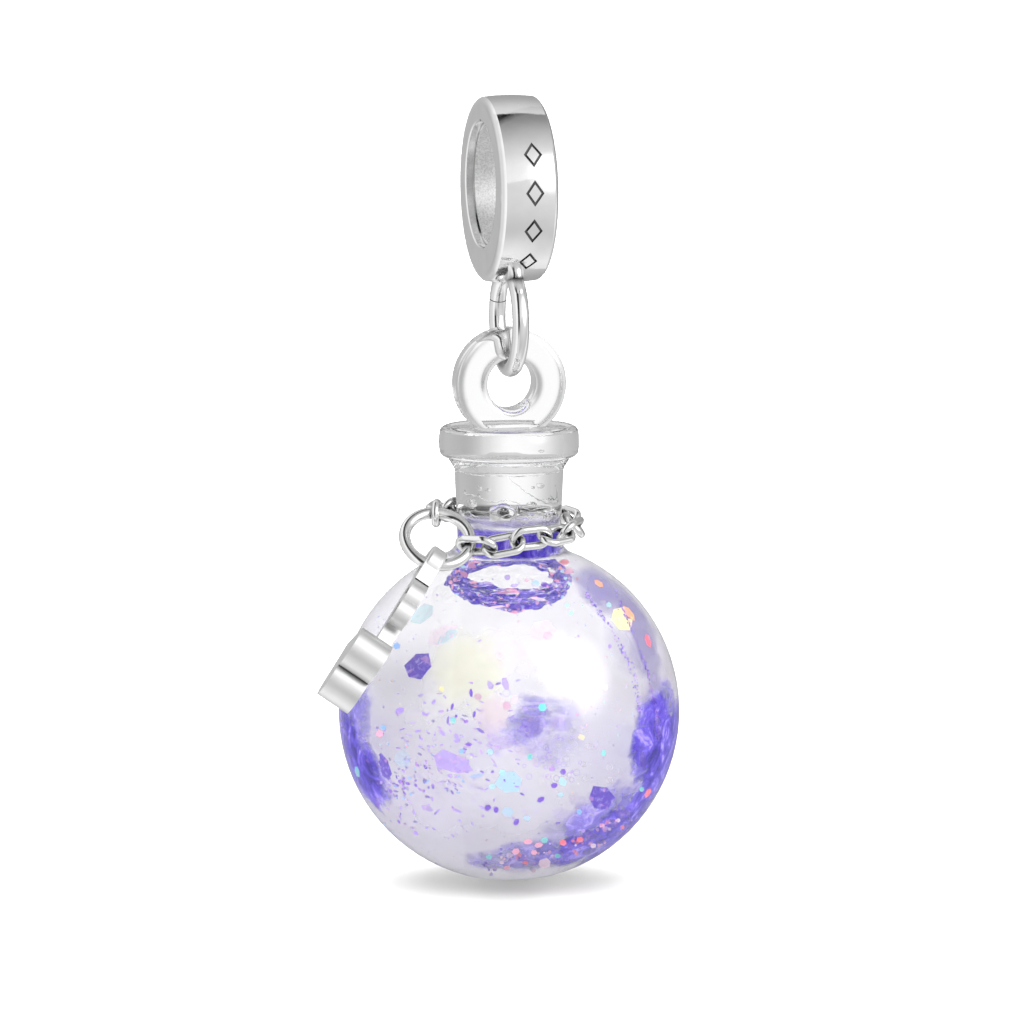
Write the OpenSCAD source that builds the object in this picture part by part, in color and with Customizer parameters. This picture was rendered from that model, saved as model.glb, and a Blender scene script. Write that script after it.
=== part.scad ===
// A glass bottle charm on a silver bead: a globe full of glitter, closed by a glass
// stopper, with a fine chain round its neck that carries a small music note.
// The origin is the centre of the bead's bore, the bore runs along X and the charm hangs along -Z.

/* [Bead] */
// Diameter of the bore that a bracelet goes through
bore_d = 5.0; // [4.6:0.1:5.0]
// Outer diameter of the bead's rim
bead_d = 7.93; // [7.7:0.01:8.4]
// Length of the bead along the bore
bead_w = 2.5; // [2.2:0.1:3]
// Distance from the bore's centre down to the rim's centre
bead_drop = 0.22; // [0.1:0.02:0.3]
// Rounding of the rim's edges
bead_round = 0.42; // [0.2:0.02:0.5]
// Diameter of the polished step at each mouth of the bore
mouth_d = 5.36; // [5.34:0.01:5.4]
// Depth of that step
mouth_w = 0.36; // [0.2:0.02:0.5]
// Number of lozenges engraved in the rim
marks = 4; // [1:1:6]

/* [Hanging ring] */
// Radius of the ring under the bead, to the middle of its wire
hang_r = 2.07; // [2:0.01:2.3]
// Thickness of the ring's wire
hang_wire = 0.72; // [0.6:0.02:0.72]
// How far the middle of the wire is let into the bead
hang_sink = 0.46; // [0.4:0.02:0.6]

/* [Stopper] */
// Outer radius of the glass eye
eye_r = 2.35; // [2.3:0.01:2.5]
// Radius of the hole in the glass eye
eye_hole_r = 1.09; // [1.09:0.01:1.2]
// Thickness of the glass eye
eye_t = 1.7; // [1.5:0.05:1.8]
// Rounding of the eye's edges
eye_round = 0.28; // [0.2:0.02:0.5]
// Radius of the wide lip
lip_r = 2.98; // [2.9:0.02:3.1]
// Height of the wide lip
lip_h = 1.32; // [1.2:0.02:1.4]
// Radius of the plug in the neck
plug_r = 1.42; // [1.3:0.02:1.43]
// How far the plug reaches down into the neck
plug_h = 2.9; // [2.6:0.05:3]

/* [Bottle] */
// Outer radius of the globe
globe_r = 7.25; // [7:0.05:7.5]
// Thickness of the globe's wall
wall = 0.85; // [0.7:0.05:1]
// Outer radius of the neck at its foot
neck_r = 2.2; // [2.1:0.02:2.24]
// Length of the neck, from its rim to the curve of the shoulder
neck_h = 3.38; // [3.3:0.02:3.5]
// Radius of the bore of the neck
neck_bore_r = 1.46; // [1.44:0.02:1.6]
// Radius of the curve where the neck meets the globe
shoulder_r = 0.8; // [0.7:0.02:0.9]

/* [Chain] */
// Length of a link, outside
link_l = 1.92; // [1.9:0.01:1.96]
// Width of a link, outside
link_w = 1.2; // [1.2:0.01:1.24]
// Thickness of a link's wire
link_wire = 0.32; // [0.28:0.01:0.32]

/* [Charm ring] */
// Radius of the ring that carries the note, to the middle of its wire
ring_r = 1.4; // [1.38:0.01:1.41]
// Thickness of the ring's wire
ring_wire = 0.5; // [0.44:0.01:0.5]

/* [Music note] */
// Outer radius of the eye at the top of the note
note_eye_r = 0.86; // [0.84:0.01:0.88]
// Radius of the hole in that eye
note_hole_r = 0.6; // [0.58:0.01:0.62]
// Thickness of the stem and the flags
note_t = 0.68; // [0.6:0.02:0.68]
// Width of the stem
stem_w = 0.66; // [0.5:0.02:0.7]
// Radius of the two lobes of the heart-shaped head
lobe_r = 0.93; // [0.85:0.01:0.95]
// Distance between the middles of the lobes
lobe_gap = 1.64; // [1.5:0.02:1.7]
// Distance from the middle of the lobes to the heart's tip
heart_reach = 2; // [1.8:0.05:2.1]
// Thickness of the head
head_t = 1.5; // [1.2:0.05:1.5]

/* [Hidden] */
$fn = 80;
// Number of links in the chain
links = 14;
LINK_NAMES = [for (i = [1:links]) str("chain_link_", i)];

// Gap between pieces that lie in or on each other
gap = 0.03;
// How far a cutting shape reaches past what it cuts
over = 1;

// Heights, from the bead down. The hanging ring sits in the glass eye with a little slack,
// the eye's centre stands above the lip, and the filling rises a little past the plug's foot.
rim_z = -bead_drop;
hang_z = rim_z - bead_d / 2 + hang_sink - hang_r;
hinge_z = hang_z - hang_r;
eye_seat = 0.12;
eye_stand = 1.82;
fill_rise = 0.4;
eye_z = hinge_z - eye_hole_r + hang_wire / 2 + eye_seat;
lip_top_z = eye_z - eye_stand;
lip_foot_z = lip_top_z - lip_h;
neck_top_z = lip_foot_z - gap;
shoulder_z = neck_top_z - neck_h;
globe_z = shoulder_z - sqrt(pow(globe_r + shoulder_r, 2) - pow(neck_r + shoulder_r, 2));
plug_foot_z = neck_top_z - plug_h;
fill_top_z = plug_foot_z + fill_rise;

// The rim bulges by a circle of this radius
rim_bulge_r = 9;
// Chamfer at the outer edge of each mouth of the bore
mouth_chamfer = 0.05;

// Engraved lozenges: half width, half height, width of the line and depth
mark_w = 0.4;
mark_h = 0.56;
mark_line = 0.13;
mark_deep = 0.1;
// Angle of the top one above level, the step to the next, and their place along the bore
mark_top = 26;
mark_step = 24;
mark_x = 0.15;

// Hairline where the hanging ring was cut and closed: angle above level and depth
seam_angle = 20;
seam_w = 0.04;
seam_deep = 0.05;

// The side of the wide lip bulges by an arc of this radius, and its edges are rounded
lip_side_r = 2.4;
lip_round = 0.36;

// The flare under the rim of the neck, and the neck's radius there
flare_h = 0.47;
flare_r = 2.6;
neck_top_r = 2.32;

// Inside of the globe, and the curve at the foot of the neck's bore
hollow_r = globe_r - wall;
throat_r = 0.6;
// The plug ends in a dome of this radius
dome_r = 1.9;

// The chain starts at the charm ring and climbs round the right side of the neck.
// Each link has its angle about the neck, its distance from the neck's axis, its height above
// the shoulder, its roll about its long axis, its slope and its turn away from the neck.
chain_from = -134.5;
chain_step = 25.15;
chain_r = 2.76;
chain_low = 0.08;
chain_climb = 0.084;
chain_slope = 3.5;
chain_roll = 42;
ANGLE = 0;
OUT = 1;
UP = 2;
ROLL = 3;
SLOPE = 4;
TURN = 5;
// Links that don't follow the rule: the first four, and the three that lead back to the charm ring
first_link = [-130.6, 3.06, -0.05, 48, 2, 0];
second_link = [-108.4, 2.88, -0.03, -46, 10.4, 10.4];
third_link = [along(2), chain_r, climbed(2), 28, chain_slope, 0];
fourth_link = [along(3), 2.83, climbed(3), -60, chain_slope, 0];
rising_link = [142.3, 2.73, 0.99, -37, 13.2, 4.5];
back_link = [167.3, 2.9, 1.11, 65, -2, -13.6];
last_link = [188.5, 3.32, 1.14, -2, 7, -26.1];

// The charm ring's centre and how it leans, to the front left of the neck
ring_at = [-3.56, -1.8, shoulder_z + 0.2];
ring_lean = [43.5, 13, -16];

// The note's eye and how the note lies against the globe
note_at = [-4.1, -2.71, shoulder_z - 0.84];
note_lean = [52.5, -23.5, -86];
// How far the eye stands proud of the stem on each side
eye_proud = 0.02;
// Foot of the stem, foot and width of its thick top, the middles of the flags and the heart's place
stem_foot = -4.6;
root_foot = -1.12;
root_w = 0.8;
flags = [-1.9, -2.7];
heart_at = [0.3, -5.96];
// The cleft of the heart faces the flags' side and downward
heart_turn = -135;
flag_x = 0.35;
flag_r = 0.85;
flag_hollow_r = 0.74;
flag_hollow = [-0.185, -0.26];

function along(i) = chain_from + chain_step * i;
function climbed(i) = chain_low + chain_climb * i - (i % 2 == 0 ? 0 : 0.055);
function common_link(i) =
    [along(i), chain_r, climbed(i), i % 2 == 0 ? chain_roll : -chain_roll, chain_slope, 0];
function link_row(i) = i == 0 ? first_link
                     : i == 1 ? second_link
                     : i == 2 ? third_link
                     : i == 3 ? fourth_link
                     : i == links - 3 ? rising_link
                     : i == links - 2 ? back_link
                     : i == links - 1 ? last_link
                     : common_link(i);

// A wire ring round the Z axis
module wire_ring(radius, wire, sweep = 360) {
    rotate_extrude(angle = sweep)
        translate([radius, 0])
            circle(d = wire);
}

// A rectangle from [x0, y0] to [x1, y1] whose right-hand corners are rounded
module soft_right(x0, x1, y0, y1, round) {
    translate([x0, y0 + round])
        square([x1 - x0, y1 - y0 - 2 * round]);
    translate([x0, y0])
        square([x1 - x0 - round, y1 - y0]);
    for (y = [y0 + round, y1 - round])
        translate([x1 - round, y])
            circle(r = round);
}

// A curve that leads from a vertical wall at radius r into a ball: the ring of material or
// hollow inside the wall's line, between the middle of the curve and the ball
module blend(r, curve_at, curve_r, ball_r, ball_z) {
    middle = [r, curve_at];
    away = norm([r, curve_at - ball_z]);
    touch = [r * ball_r / away, ball_z + (curve_at - ball_z) * ball_r / away];
    rotate_extrude()
        difference() {
            polygon([[0, ball_z], touch, middle, [0, curve_at]]);
            translate(middle)
                circle(r = curve_r);
        }
}

module lozenge(w, h) {
    polygon([[w, 0], [0, h], [-w, 0], [0, -h]]);
}

// One engraved lozenge, drawn at the top of the rim
module mark() {
    translate([mark_x, 0, bead_d / 2 - mark_deep])
        linear_extrude(height = over)
            difference() {
                lozenge(mark_w, mark_h);
                lozenge(mark_w - mark_line, mark_h - mark_line * mark_h / mark_w);
            }
}

module bead_blank() {
    translate([0, 0, rim_z])
        rotate([0, 90, 0])
            rotate_extrude()
                intersection() {
                    soft_right(0, bead_d / 2, -bead_w / 2, bead_w / 2, bead_round);
                    translate([bead_d / 2 - rim_bulge_r, 0])
                        circle(r = rim_bulge_r, $fn = 180);
                }
}

module bore() {
    rotate([0, 90, 0])
        union() {
            cylinder(d = bore_d, h = bead_w + 2 * over, center = true);
            for (side = [-1, 1]) {
                translate([0, 0, side * (bead_w - mouth_w) / 2])
                    cylinder(d = mouth_d, h = mouth_w + gap, center = true);
            }
            translate([0, 0, bead_w / 2 - mouth_chamfer])
                cylinder(d1 = mouth_d, d2 = mouth_d + 4 * mouth_chamfer, h = 2 * mouth_chamfer);
            translate([0, 0, -bead_w / 2 - mouth_chamfer])
                cylinder(d1 = mouth_d + 4 * mouth_chamfer, d2 = mouth_d, h = 2 * mouth_chamfer);
        }
}

// The hanging ring, in the plane across the bore, with the hairline of its joint at the back
module hanging_ring() {
    translate([0, 0, hang_z])
        rotate([90, 0, 90])
            difference() {
                wire_ring(hang_r, hang_wire);
                rotate([0, 0, seam_angle])
                    translate([hang_r, 0, 0])
                        rotate([90, 0, 0])
                            difference() {
                                cylinder(d = hang_wire + over, h = seam_w, center = true);
                                cylinder(d = hang_wire - 2 * seam_deep, h = over, center = true);
                            }
            }
}

// Bead and ring are soldered, so they are one solid
module bail() {
    color("silver")
        difference() {
            union() {
                bead_blank();
                hanging_ring();
            }
            bore();
            for (i = [0:marks - 1]) {
                translate([0, 0, rim_z])
                    rotate([90 - mark_top + i * mark_step, 0, 0])
                        mark();
            }
        }
}

module stopper_eye() {
    translate([0, 0, eye_z])
        rotate([90, 0, 0])
            rotate_extrude()
                difference() {
                    soft_right(0, eye_r, -eye_t / 2, eye_t / 2, eye_round);
                    translate([-over, -eye_t])
                        square([over + eye_hole_r, 2 * eye_t]);
                    for (side = [-1, 1])
                        translate([eye_hole_r, side * eye_t / 2])
                            inner_corner(side);
                }
}

// What the rounding of the hole's edge takes away, at a corner of the eye's section
module inner_corner(side) {
    difference() {
        translate([0, side < 0 ? 0 : -eye_round])
            square(eye_round);
        translate([eye_round, -side * eye_round])
            circle(r = eye_round);
    }
}

module stopper_lip() {
    rotate_extrude()
        intersection() {
            soft_right(0, lip_r, lip_foot_z, lip_top_z, lip_round);
            union() {
                translate([lip_r - lip_side_r, (lip_top_z + lip_foot_z) / 2])
                    circle(r = lip_side_r, $fn = 120);
                translate([0, lip_foot_z])
                    square([lip_r - lip_side_r, lip_h]);
            }
        }
}

module plug() {
    intersection() {
        translate([0, 0, plug_foot_z])
            cylinder(r = plug_r, h = lip_foot_z - plug_foot_z + lip_h / 2);
        translate([0, 0, plug_foot_z + dome_r])
            union() {
                sphere(r = dome_r);
                cylinder(r = dome_r, h = neck_h);
            }
    }
}

module glass_stopper() {
    color("gainsboro")
        union() {
            stopper_eye();
            stopper_lip();
            plug();
        }
}

// The hollow of the bottle, made smaller all round by the slack
module hollow(slack) {
    throat_z = globe_z + sqrt(pow(hollow_r + throat_r, 2) - pow(neck_bore_r + throat_r, 2));
    translate([0, 0, globe_z])
        sphere(r = hollow_r - slack, $fn = 120);
    translate([0, 0, globe_z])
        cylinder(r = neck_bore_r - slack, h = neck_top_z + over - globe_z);
    blend(neck_bore_r + throat_r, throat_z, throat_r + slack, hollow_r - slack, globe_z);
}

module glass_bottle() {
    color("lavender", 0.4)
        difference() {
            union() {
                translate([0, 0, globe_z])
                    sphere(r = globe_r, $fn = 120);
                blend(neck_r + shoulder_r, shoulder_z, shoulder_r, globe_r, globe_z);
                translate([0, 0, shoulder_z])
                    cylinder(r1 = neck_r, r2 = neck_top_r, h = neck_h - flare_h);
                translate([0, 0, neck_top_z - flare_h])
                    cylinder(r1 = neck_top_r, r2 = flare_r, h = flare_h);
            }
            hollow(0);
        }
}

module glitter_filling() {
    color("mediumpurple")
        difference() {
            hollow(gap);
            translate([0, 0, fill_top_z])
                cylinder(r = neck_r, h = 2 * neck_h);
            translate([0, 0, plug_foot_z + dome_r])
                sphere(r = dome_r + gap);
        }
}

// An oval link lying in the XZ plane, long along X
module oval_link() {
    bend = (link_w - link_wire) / 2;
    straight = link_l / 2 - link_w / 2;
    rotate([90, 0, 0])
        union() {
            for (side = [0, 180]) {
                rotate([0, 0, side])
                    translate([straight, 0, 0])
                        rotate([0, 0, -90])
                            wire_ring(bend, link_wire, 180);
                rotate([0, 0, side])
                    translate([0, bend, 0])
                        rotate([0, 90, 0])
                            cylinder(d = link_wire, h = 2 * straight, center = true);
            }
        }
}

module chain_link(i) {
    row = link_row(i);
    color("silver")
        rotate([0, 0, row[ANGLE]])
            translate([row[OUT], 0, shoulder_z + row[UP]])
                rotate([0, 0, 90 + row[TURN]])
                    rotate([0, -row[SLOPE], 0])
                        rotate([row[ROLL], 0, 0])
                            oval_link();
}

module charm_ring() {
    color("silver")
        translate(ring_at)
            rotate(ring_lean)
                wire_ring(ring_r, ring_wire);
}

// Where a line from point p touches a circle of radius r round c, on the side given as 1 or -1
function tangent_point(c, p, r, side) =
    let (away = p - c, reach = norm(away), turn = side * acos(r / reach))
    c + r / reach * [away[0] * cos(turn) - away[1] * sin(turn),
                     away[0] * sin(turn) + away[1] * cos(turn)];

// A heart round the middle of its lobes, with its cleft to +Y and its tip to -Y
module heart() {
    left = [-lobe_gap / 2, 0];
    right = [lobe_gap / 2, 0];
    tip = [0, -heart_reach];
    for (middle = [left, right])
        translate(middle)
            circle(r = lobe_r);
    polygon([tip, tangent_point(left, tip, lobe_r, -1), left, right,
             tangent_point(right, tip, lobe_r, 1)]);
}

// A flag that curls out from the stem and ends in a point
module flag(y) {
    translate([flag_x, y])
        intersection() {
            difference() {
                circle(r = flag_r);
                translate(flag_hollow)
                    circle(r = flag_hollow_r);
            }
            translate([-flag_x, -flag_r])
                square([flag_x + flag_r, 2 * flag_r]);
        }
}

// The eye of the note, a cast ring whose edges are rounded
module note_eye() {
    round = (note_eye_r - note_hole_r) / 2;
    eye_half = note_t / 2 + eye_proud;
    rotate_extrude()
        translate([note_hole_r, 0])
            union() {
                translate([0, round - eye_half])
                    square([2 * round, 2 * (eye_half - round)]);
                for (side = [-1, 1])
                    translate([round, side * (eye_half - round)])
                        circle(r = round);
            }
}

// The note's face lies in the XY plane, the stem along Y, and the flags reach to +X
module flat_note() {
    note_eye();
    translate([0, 0, -note_t / 2])
        linear_extrude(height = note_t)
            difference() {
                union() {
                    translate([-stem_w / 2, stem_foot])
                        square([stem_w, -stem_foot]);
                    translate([0, root_foot])
                        square([root_w, -root_foot]);
                    for (y = flags)
                        flag(y);
                }
                circle(r = (note_eye_r + note_hole_r) / 2);
                translate([-note_eye_r, 0])
                    square(2 * note_eye_r);
            }
    translate([heart_at[0], heart_at[1], -note_t / 2])
        rotate([0, 0, heart_turn])
            linear_extrude(height = head_t)
                heart();
}

module music_note() {
    color("silver")
        translate(note_at)
            rotate(note_lean)
                flat_note();
}

bail();
glass_stopper();
glass_bottle();
glitter_filling();
for (i = [0:links - 1]) {
    chain_link(i);
}
charm_ring();
music_note();
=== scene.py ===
import math
import random

import bmesh
import bpy
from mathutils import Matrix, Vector
from mathutils.noise import noise as noise_3d


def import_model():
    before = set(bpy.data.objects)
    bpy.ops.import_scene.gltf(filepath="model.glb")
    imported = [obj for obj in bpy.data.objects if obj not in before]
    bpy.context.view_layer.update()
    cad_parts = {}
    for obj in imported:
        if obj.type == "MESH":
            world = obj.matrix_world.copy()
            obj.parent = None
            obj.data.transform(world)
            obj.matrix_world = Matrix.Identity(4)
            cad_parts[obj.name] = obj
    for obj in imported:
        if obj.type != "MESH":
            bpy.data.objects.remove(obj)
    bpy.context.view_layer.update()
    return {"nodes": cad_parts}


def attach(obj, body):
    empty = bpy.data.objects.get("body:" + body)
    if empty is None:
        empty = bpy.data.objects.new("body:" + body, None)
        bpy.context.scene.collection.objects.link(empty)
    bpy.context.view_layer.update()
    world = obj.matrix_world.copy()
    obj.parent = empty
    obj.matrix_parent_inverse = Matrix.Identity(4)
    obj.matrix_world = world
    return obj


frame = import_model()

MM = 0.001
nodes = frame["nodes"]

# Heights and radii of the CAD model, in mm
RIM_Z = -0.22
RIM_R = 3.965
LIP_FOOT_Z = -11.615
NECK_TOP_Z = -11.645
FILL_TOP_Z = -14.145
SHOULDER_Z = -15.025
GLOBE_Z = -22.495
GLOBE_R = 7.25
FILL_R = 6.37
FLOOR_Z = GLOBE_Z - GLOBE_R
GLOBE_CENTRE = Vector((0, 0, GLOBE_Z))


def mm(*v):
    return Vector(v) * MM


def add(thing):
    bpy.context.scene.collection.objects.link(thing)


# The photo's view

PIXEL = 0.0424  # mm of the object for one pixel of the photo
GLOBE_AT = (506.5, 711)  # the globe's centre in the photo
ORIGIN_AT = (509.75, 184.35)  # the origin in the photo, above the middle of the neck
AZIMUTH = math.radians(-14)
ELEVATION = math.radians(7)
# From the charm to the camera, to the right and up in the picture, and level towards the camera
BACK = Vector((math.sin(AZIMUTH) * math.cos(ELEVATION), -math.cos(AZIMUTH) * math.cos(ELEVATION),
               math.sin(ELEVATION)))
RIGHT = Vector((math.cos(AZIMUTH), math.sin(AZIMUTH), 0))
UP = BACK.cross(RIGHT)
LEVEL_BACK = Vector((BACK.x, BACK.y, 0)).normalized()
GLASS_INDEX = 1.5  # how much glass and liquid bend light
LIMB = 0.998  # a place past this share of the globe's radius is drawn in to it


def seen_at(x, y, radius):
    """The point on a ball inside the glass, in mm from its centre, that is seen at a place of the photo."""
    across = (x - GLOBE_AT[0]) * PIXEL
    up = (GLOBE_AT[1] - y) * PIXEL
    away = math.hypot(across, up)
    if away > LIMB * GLOBE_R:
        across = across * LIMB * GLOBE_R / away
        up = up * LIMB * GLOBE_R / away
        away = LIMB * GLOBE_R
    entry = RIGHT * across + UP * up + BACK * math.sqrt(GLOBE_R ** 2 - away ** 2)
    normal = entry / GLOBE_R
    facing = BACK.dot(normal)
    bend = 1 / GLASS_INDEX
    ray = -BACK * bend + normal * (bend * facing - math.sqrt(1 - bend * bend * (1 - facing * facing)))
    half = entry.dot(ray)
    return entry + ray * (-half - math.sqrt(max(half * half - entry.dot(entry) + radius ** 2, 0)))


# Node helpers

BUMP_HEIGHT = 0.0002  # in metres
MIX_A, MIX_B, MIX_RESULT = 6, 7, 2  # the colour sockets of a mix node
CLEAR = (1, 1, 1, 1)


def new_material(name):
    mat = bpy.data.materials.new(name)
    mat.use_nodes = True
    mat.node_tree.nodes.clear()
    return mat, mat.node_tree


def fill(tree, socket, value):
    """Links a node's input to a socket, or sets it to a value."""
    if isinstance(value, bpy.types.NodeSocket):
        tree.links.new(value, socket)
    else:
        socket.default_value = value


def put(tree, kind, inputs=None, **settings):
    """A node with its settings, and its inputs set or linked."""
    made = tree.nodes.new(kind)
    for key, value in settings.items():
        setattr(made, key, value)
    for key, value in (inputs or {}).items():
        fill(tree, made.inputs[key], value)
    return made


def maths(tree, operation, *values, clamp=False):
    made = put(tree, "ShaderNodeMath", dict(enumerate(values)), operation=operation, use_clamp=clamp)
    return made.outputs[0]


def times(tree, a, b):
    return maths(tree, "MULTIPLY", a, b)


def mix_value(tree, share, a, b):
    """The value a, or b where the share is 1."""
    return maths(tree, "MULTIPLY_ADD", share, maths(tree, "SUBTRACT", b, a), a)


def vector(tree, operation, *values):
    made = put(tree, "ShaderNodeVectorMath", operation=operation)
    for i, value in enumerate(values):
        key = "Scale" if operation == "SCALE" and i == 1 else i
        fill(tree, made.inputs[key], value)
    return made.outputs["Value" if operation in ("DOT_PRODUCT", "LENGTH") else "Vector"]


def step(tree, value, low, high, to_low=0.0, to_high=1.0):
    """A smooth step of the value from low to high."""
    inputs = {"Value": value, "From Min": low, "From Max": high, "To Min": to_low, "To Max": to_high}
    return put(tree, "ShaderNodeMapRange", inputs, interpolation_type="SMOOTHSTEP").outputs[0]


def step_linear(tree, value, low, high):
    """The value from low to high, as 0 to 1."""
    return put(tree, "ShaderNodeMapRange", {"Value": value, "From Min": low, "From Max": high}).outputs[0]


def place(tree):
    """The position in mm, in the CAD model's frame."""
    return vector(tree, "SCALE", put(tree, "ShaderNodeTexCoord").outputs["Object"], 1 / MM)


def parts(tree, p):
    """A vector's x, y and z."""
    return put(tree, "ShaderNodeSeparateXYZ", {0: p}).outputs


def noise(tree, p, scale, detail=3.0, rough=0.5, distortion=0.0, out="Fac"):
    inputs = {"Vector": p, "Scale": scale, "Detail": detail, "Roughness": rough, "Distortion": distortion}
    return put(tree, "ShaderNodeTexNoise", inputs).outputs[out]


def ramp(tree, value, *stops):
    """Colours along the value, from 0 to 1."""
    made = put(tree, "ShaderNodeValToRGB", {0: value})
    bar = made.color_ramp
    while len(bar.elements) < len(stops):
        bar.elements.new(0.5)
    for element, (at, colour) in zip(bar.elements, stops):
        element.position = at
        element.color = (*colour, 1)
    return made.outputs[0]


def grey(v):
    return (v, v, v)


def mix_colour(tree, share, a, b, blend="MIX"):
    made = put(tree, "ShaderNodeMix", data_type="RGBA", blend_type=blend)
    for key, value in (("Factor", share), (MIX_A, a), (MIX_B, b)):
        fill(tree, made.inputs[key], (*value, 1) if isinstance(value, tuple) else value)
    return made.outputs[MIX_RESULT]


def mix_shader(tree, share, a, b):
    return put(tree, "ShaderNodeMixShader", {0: share, 1: a, 2: b}).outputs[0]


def see_through(tree, colour):
    return put(tree, "ShaderNodeBsdfTransparent", {"Color": colour}).outputs[0]


def bump(tree, height, strength):
    """A normal with small waves in it."""
    made = put(tree, "ShaderNodeBump", {"Strength": strength, "Distance": BUMP_HEIGHT, "Height": height})
    return made.outputs[0]


def principled(tree, **inputs):
    """The main shader. Its inputs are named with underscores for spaces."""
    named = {key.replace("_", " "): value for key, value in inputs.items()}
    return put(tree, "ShaderNodeBsdfPrincipled", named).outputs[0]


def light_path(tree):
    return put(tree, "ShaderNodeLightPath").outputs


def soft_ray(tree, path):
    """The share of rays that carry shadow or soft light."""
    return maths(tree, "MAXIMUM", path["Is Shadow Ray"], path["Is Diffuse Ray"])


def finish_material(tree, shader):
    put(tree, "ShaderNodeOutputMaterial", {"Surface": shader})


def finish_inside(tree, shader, shade=None):
    """Finishes what lies inside the glass, so that silver doesn't mirror it. Shade is its shadow's tone."""
    path = light_path(tree)
    if shade is not None:
        inner = put(tree, "ShaderNodeNewGeometry").outputs["Backfacing"]
        veil = see_through(tree, step(tree, inner, 0.2, 0.8, shade, 1.0))
        shader = mix_shader(tree, soft_ray(tree, path), shader, veil)
    mirrored = step(tree, path["Glossy Depth"], 0.4, 0.6)
    finish_material(tree, mix_shader(tree, mirrored, shader, see_through(tree, CLEAR)))


def dress(name, material):
    """Gives a CAD piece its material."""
    mesh = nodes[name].data
    mesh.materials.clear()
    mesh.materials.append(material)


# Silver

CLEFT_SHADE_REACH = 0.0006  # how near another surface brings painted shade onto the silver, in metres
# Tone of that painted shade
CLEFT_SHADE_TONE = 0.16
LOZENGE_FLOOR = (0.10, 0.10, 0.105)
# Edges in the bead, each with where its look starts and ends, in mm
BORE_WALL_R = (2.54, 2.56)
BORE_WALL_HALF = (0.9, 0.93)
LOZENGE_DEPTH = (0.02, 0.07)
LOZENGE_HALF = (0.72, 0.74)
RIM_START_R = (3.7, 3.72)
RIM_BULGE = 1 / 18


def bead_marks(t, p, colour, rough, height):
    """The bead's own looks: the blasted wall of its bore, and the dark floors of its engraved lozenges."""
    along = maths(t, "ABSOLUTE", parts(t, p)[0])
    crosswise = vector(t, "MULTIPLY", p, (0, 1, 1))
    # The blasted wall lies between polished steps
    wall = times(t, step(t, vector(t, "LENGTH", crosswise), *BORE_WALL_R, 1, 0),
                 step(t, along, *BORE_WALL_HALF, 1, 0))
    grain = step(t, noise(t, p, 12, 4, 0.8), 0.36, 0.66)
    colour = mix_colour(t, wall, colour, mix_colour(t, grain, grey(0.97), grey(0.66)))
    rough = maths(t, "MULTIPLY_ADD", wall, 0.38, rough)
    height = maths(t, "MULTIPLY_ADD", times(t, wall, grain), 5.0, height)
    # The lozenges are sunk in the rim, which bulges a little
    from_rim = vector(t, "LENGTH", vector(t, "ADD", crosswise, (0, 0, -RIM_Z)))
    bulge = maths(t, "MULTIPLY_ADD", times(t, along, along), -RIM_BULGE, RIM_R)
    sunk = step(t, maths(t, "SUBTRACT", bulge, from_rim), *LOZENGE_DEPTH)
    in_rim = step(t, from_rim, *RIM_START_R)
    cut = times(t, times(t, sunk, in_rim), step(t, along, *LOZENGE_HALF, 1, 0))
    colour = mix_colour(t, cut, colour, LOZENGE_FLOOR)
    rough = maths(t, "MULTIPLY_ADD", cut, 0.3, rough)
    return colour, rough, height


def silver(name, tone, smooth, dull, bead=False):
    """Silver of that tone, with a roughness between smooth and dull."""
    mat, t = new_material(name)
    p = place(t)
    colour = ramp(t, noise(t, p, 0.9, 2), (0.3, grey(tone - 0.03)), (0.7, grey(tone + 0.03)))
    rough = step(t, noise(t, p, 2.2, 4, 0.6), 0.35, 0.75, smooth, dull)
    height = noise(t, p, 1.6, 2)
    if bead:
        colour, rough, height = bead_marks(t, p, colour, rough, height)
    # Painted shade: darker in clefts and where pieces meet
    opened = put(t, "ShaderNodeAmbientOcclusion", {"Distance": CLEFT_SHADE_REACH}, samples=8).outputs["AO"]
    colour = mix_colour(t, step(t, opened, 0.25, 0.75, 1, 0), colour, grey(CLEFT_SHADE_TONE))
    finish_material(t, principled(t, Base_Color=colour, Metallic=1.0, Roughness=rough,
                                  Normal=bump(t, height, 0.02)))
    return mat


# Glass

# Edges of what touches the filling or the plug: radii and heights where that starts and ends, in mm
WET_GLOBE_R = (6.6, 6.65)
WET_NECK_R = (1.9, 2.0)
WET_NECK_Z = (NECK_TOP_Z - 0.06, NECK_TOP_Z - 0.03)
WET_PLUG_Z = (LIP_FOOT_Z - 0.08, LIP_FOOT_Z - 0.04)
GLASS_SHADOW = (0.9, 0.9, 0.9, 1)


def glass(name, tint, joined):
    """Clear glass, which the silver doesn't mirror.

    joined gives the share of the surface that touches other glass or liquid. Nothing shows there.
    """
    mat, t = new_material(name)
    p = place(t)
    faint = ramp(t, noise(t, p, 0.8, 2), (0.35, tint), (0.65, grey(0.995)))
    body = principled(t, Base_Color=faint, Roughness=0.0, IOR=GLASS_INDEX, Transmission_Weight=1.0,
                      Normal=bump(t, noise(t, p, 0.55, 2), 0.08))
    path = light_path(t)
    shader = mix_shader(t, soft_ray(t, path), body, see_through(t, GLASS_SHADOW))
    mirrored = times(t, step(t, path["Glossy Depth"], 0.4, 0.6),
                     step(t, path["Transmission Depth"], 0.4, 0.6, 1, 0))
    unseen = maths(t, "MAXIMUM", joined(t, p), mirrored)
    finish_material(t, mix_shader(t, unseen, shader, see_through(t, CLEAR)))
    return mat


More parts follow.
